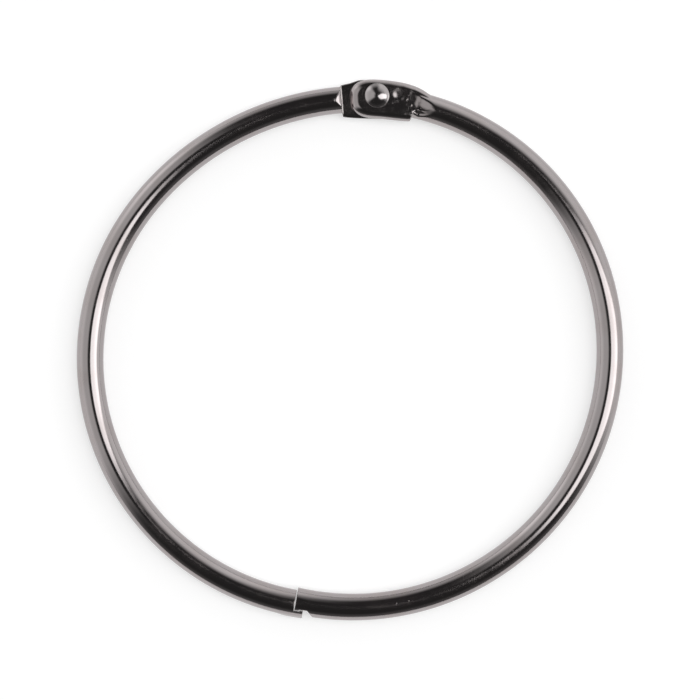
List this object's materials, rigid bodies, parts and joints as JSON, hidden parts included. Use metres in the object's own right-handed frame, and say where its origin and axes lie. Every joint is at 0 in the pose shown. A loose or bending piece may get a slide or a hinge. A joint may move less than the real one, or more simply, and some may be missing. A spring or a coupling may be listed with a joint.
{
  "type": "binder ring",
  "caption": "Hinged wire ring that opens at a riveted joint and hooks shut end to end, to hold punched sheets, tags or cards.",
  "frame": {"origin": "middle of the closed ring, on the surface that it lies on", "axes": "+Z is the ring's axis and points out of the face with the rivet's dome, +Y points at the hinge's side of the ring, and +X at the arm that opens"},
  "size_m": [0.0855, 0.0846, 0.0046],
  "materials": {
    "arm_plating": "bright nickel plate on bent steel wire",
    "rivet_plating": "bright nickel plate on a steel rivet"
  },
  "bodies": {
    "fixed_arm": {"left_arm": "arm_plating", "rivet": "rivet_plating"},
    "opening_arm": {"right_arm": "arm_plating"}
  },
  "joints": [
    {"name": "hinge", "type": "hinge", "parent": "fixed_arm", "child": "opening_arm", "pos_m": [0.0041, 0.04034, 0.0021], "axis": [0, 0, 1], "range_deg": [0, 145]}
  ]
}
